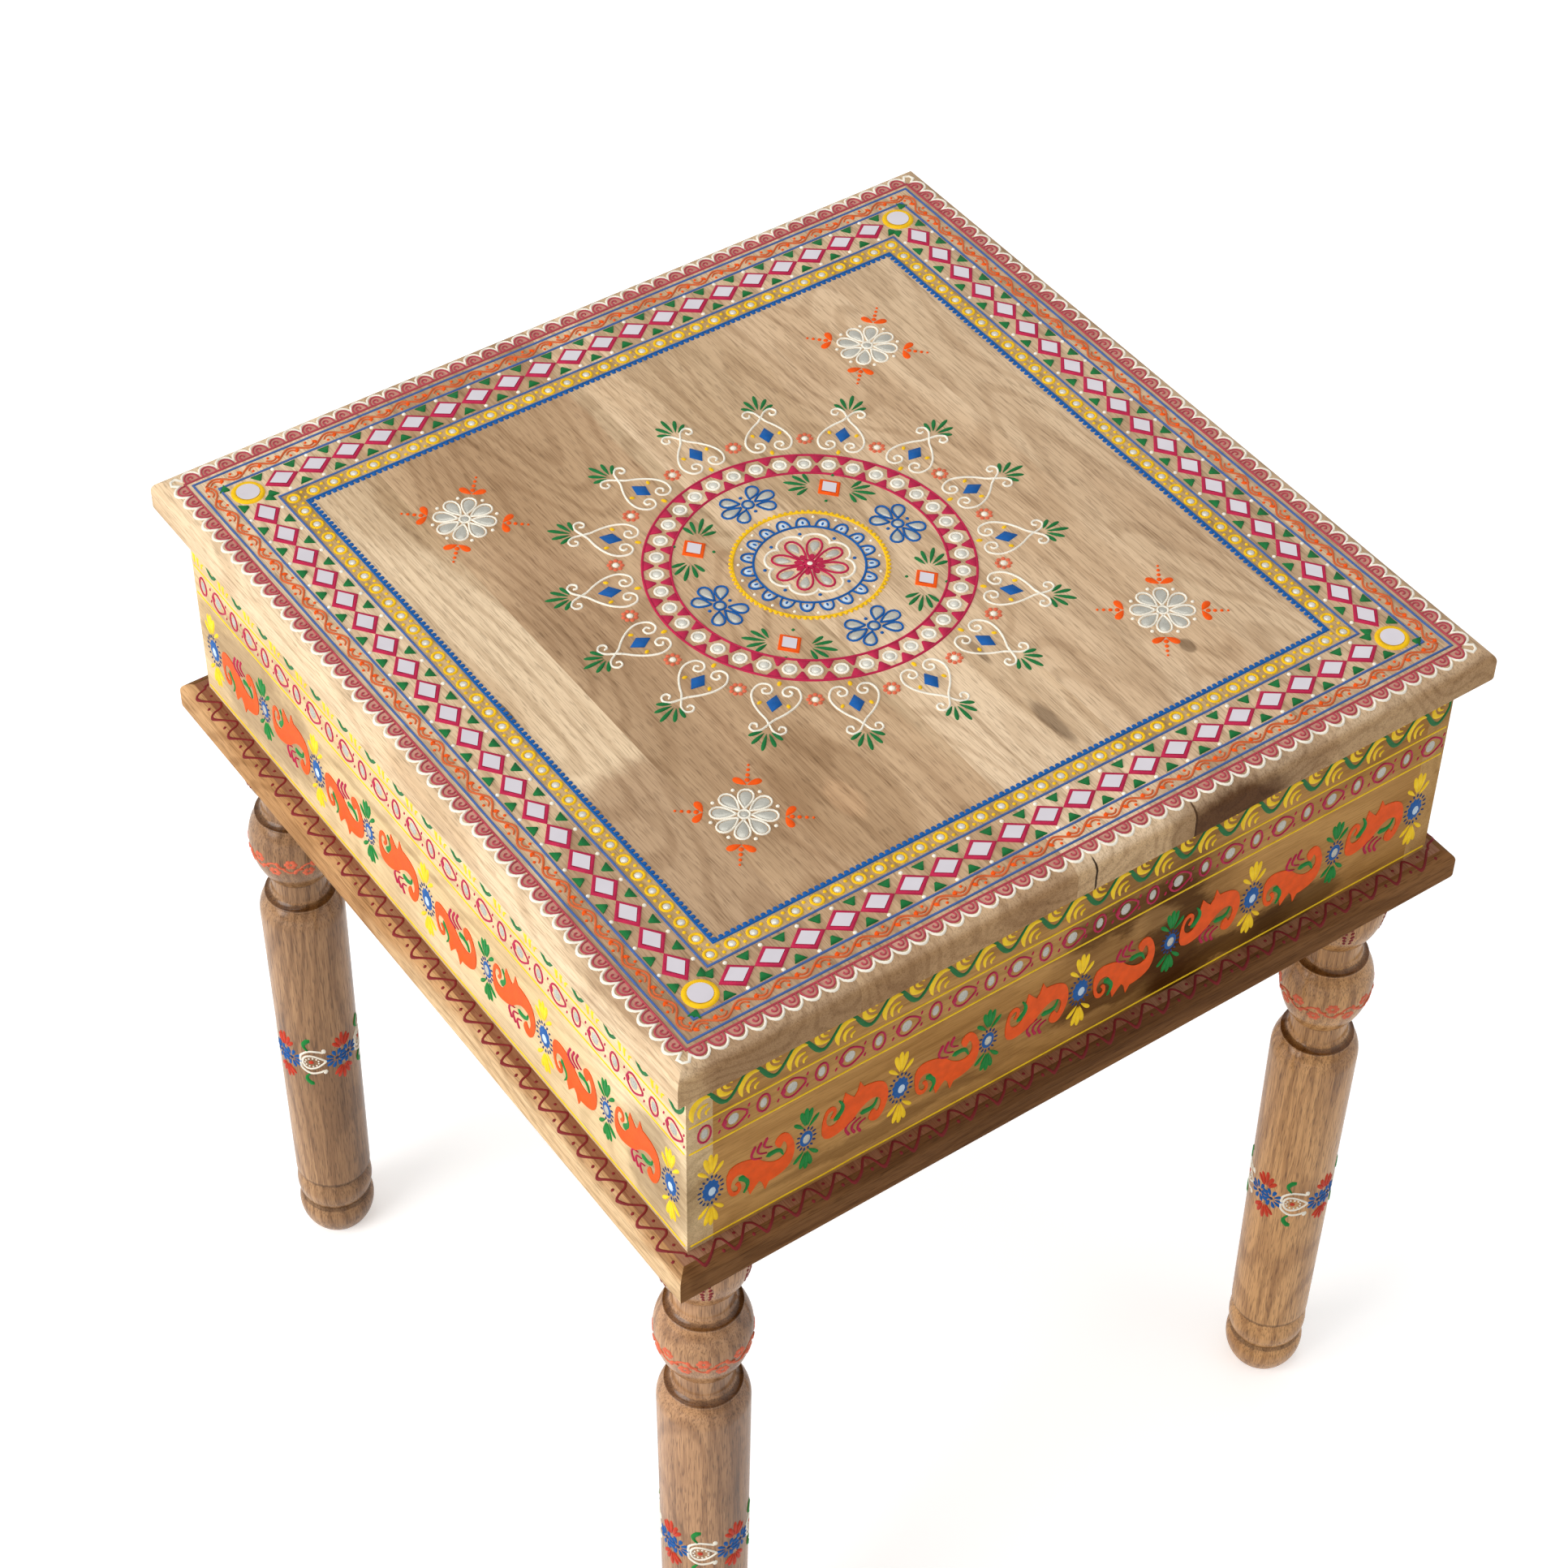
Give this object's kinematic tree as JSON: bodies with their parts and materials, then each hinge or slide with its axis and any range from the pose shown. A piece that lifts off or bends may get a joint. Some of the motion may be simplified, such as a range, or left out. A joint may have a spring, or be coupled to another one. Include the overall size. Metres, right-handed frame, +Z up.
{
  "type": "coffee table",
  "caption": "Small square wooden coffee table with a hinged plank lid over a storage box, a moulded base and turned legs, painted with a traditional mandala and mirror border.",
  "frame": {"origin": "on the floor, in the middle between the four legs", "axes": "+Z up, -Y to the front, +Y to the hinges at the back, +X to the right of somebody facing the front"},
  "size_m": [0.4, 0.4, 0.4891],
  "materials": {
    "mango_wood": "satin varnish",
    "plain_wood": "planed",
    "plywood": "sanded",
    "brass": "brushed",
    "steel": "zinc plated",
    "mirror": "polished"
  },
  "bodies": {
    "box": {"leg_front_left": "mango_wood", "leg_front_right": "mango_wood", "leg_back_left": "mango_wood", "leg_back_right": "mango_wood", "base_moulding_front": "mango_wood", "base_moulding_back": "mango_wood", "base_moulding_left": "mango_wood", "base_moulding_right": "mango_wood", "wall_front": "mango_wood", "wall_back": "mango_wood", "wall_left": "mango_wood", "wall_right": "mango_wood", "bottom_panel": "plywood", "corner_block_front_left": "plain_wood", "corner_block_front_right": "plain_wood", "corner_block_back_left": "plain_wood", "corner_block_back_right": "plain_wood", "corner_dowels": "plain_wood", "base_screws": "steel", "leg_bolts": "steel", "leg_inserts": "steel", "hinge_left_box_leaf": "brass", "hinge_right_box_leaf": "brass", "hinge_left_pin": "brass", "hinge_right_pin": "brass", "hinge_box_screws": "steel"},
    "lid": {"lid_board_1": "mango_wood", "lid_board_2": "mango_wood", "lid_board_3": "mango_wood", "lid_board_4": "mango_wood", "lid_board_5": "mango_wood", "lid_batten_front": "plain_wood", "lid_batten_back": "plain_wood", "batten_screws": "steel", "hinge_left_lid_leaf": "brass", "hinge_right_lid_leaf": "brass", "hinge_lid_screws": "steel", "border_mirrors": "mirror", "corner_mirrors": "mirror", "medallion_mirrors": "mirror"}
  },
  "joints": [
    {"name": "lid_hinge", "type": "hinge", "parent": "box", "child": "lid", "pos_m": [0, 0.1935, 0.47015], "axis": [-1, 0, 0], "range_deg": [0, 110]}
  ]
}
